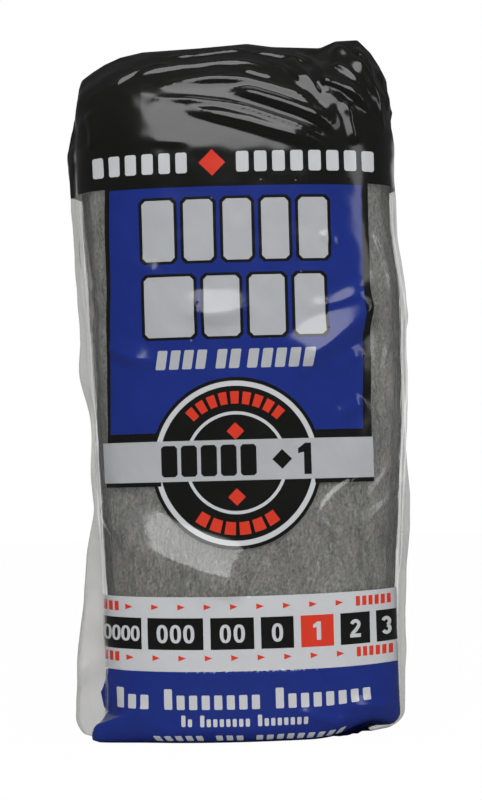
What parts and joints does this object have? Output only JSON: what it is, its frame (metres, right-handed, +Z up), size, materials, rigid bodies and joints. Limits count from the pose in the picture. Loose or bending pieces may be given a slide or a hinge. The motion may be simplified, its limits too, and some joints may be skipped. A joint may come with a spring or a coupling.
{
  "type": "bag of steel wool pads",
  "caption": "Upright clear film bag with printed colour fields and a plain grade scale, holding a standing stack of steel wool pads; gathered top, folded flat base.",
  "frame": {"origin": "middle of the underside, on the surface that the bag stands on", "axes": "+Z up along the bag's height, -Y out of its printed front, +X to the right as seen from the front"},
  "size_m": [0.113, 0.0658, 0.2312],
  "materials": {
    "printed_film": "thin clear glossy film, wrinkled, printed in opaque black, blue, white and a little red",
    "steel_wool": "matted fine steel fibres, greenish grey, dull with bright glints"
  },
  "bodies": {
    "root": {"film_bag": "printed_film", "wool_pad_01": "steel_wool", "wool_pad_02": "steel_wool", "wool_pad_03": "steel_wool", "wool_pad_04": "steel_wool", "wool_pad_05": "steel_wool", "wool_pad_06": "steel_wool", "wool_pad_07": "steel_wool", "wool_pad_08": "steel_wool", "wool_pad_09": "steel_wool", "wool_pad_10": "steel_wool", "wool_pad_11": "steel_wool", "wool_pad_12": "steel_wool"}
  },
  "joints": []
}
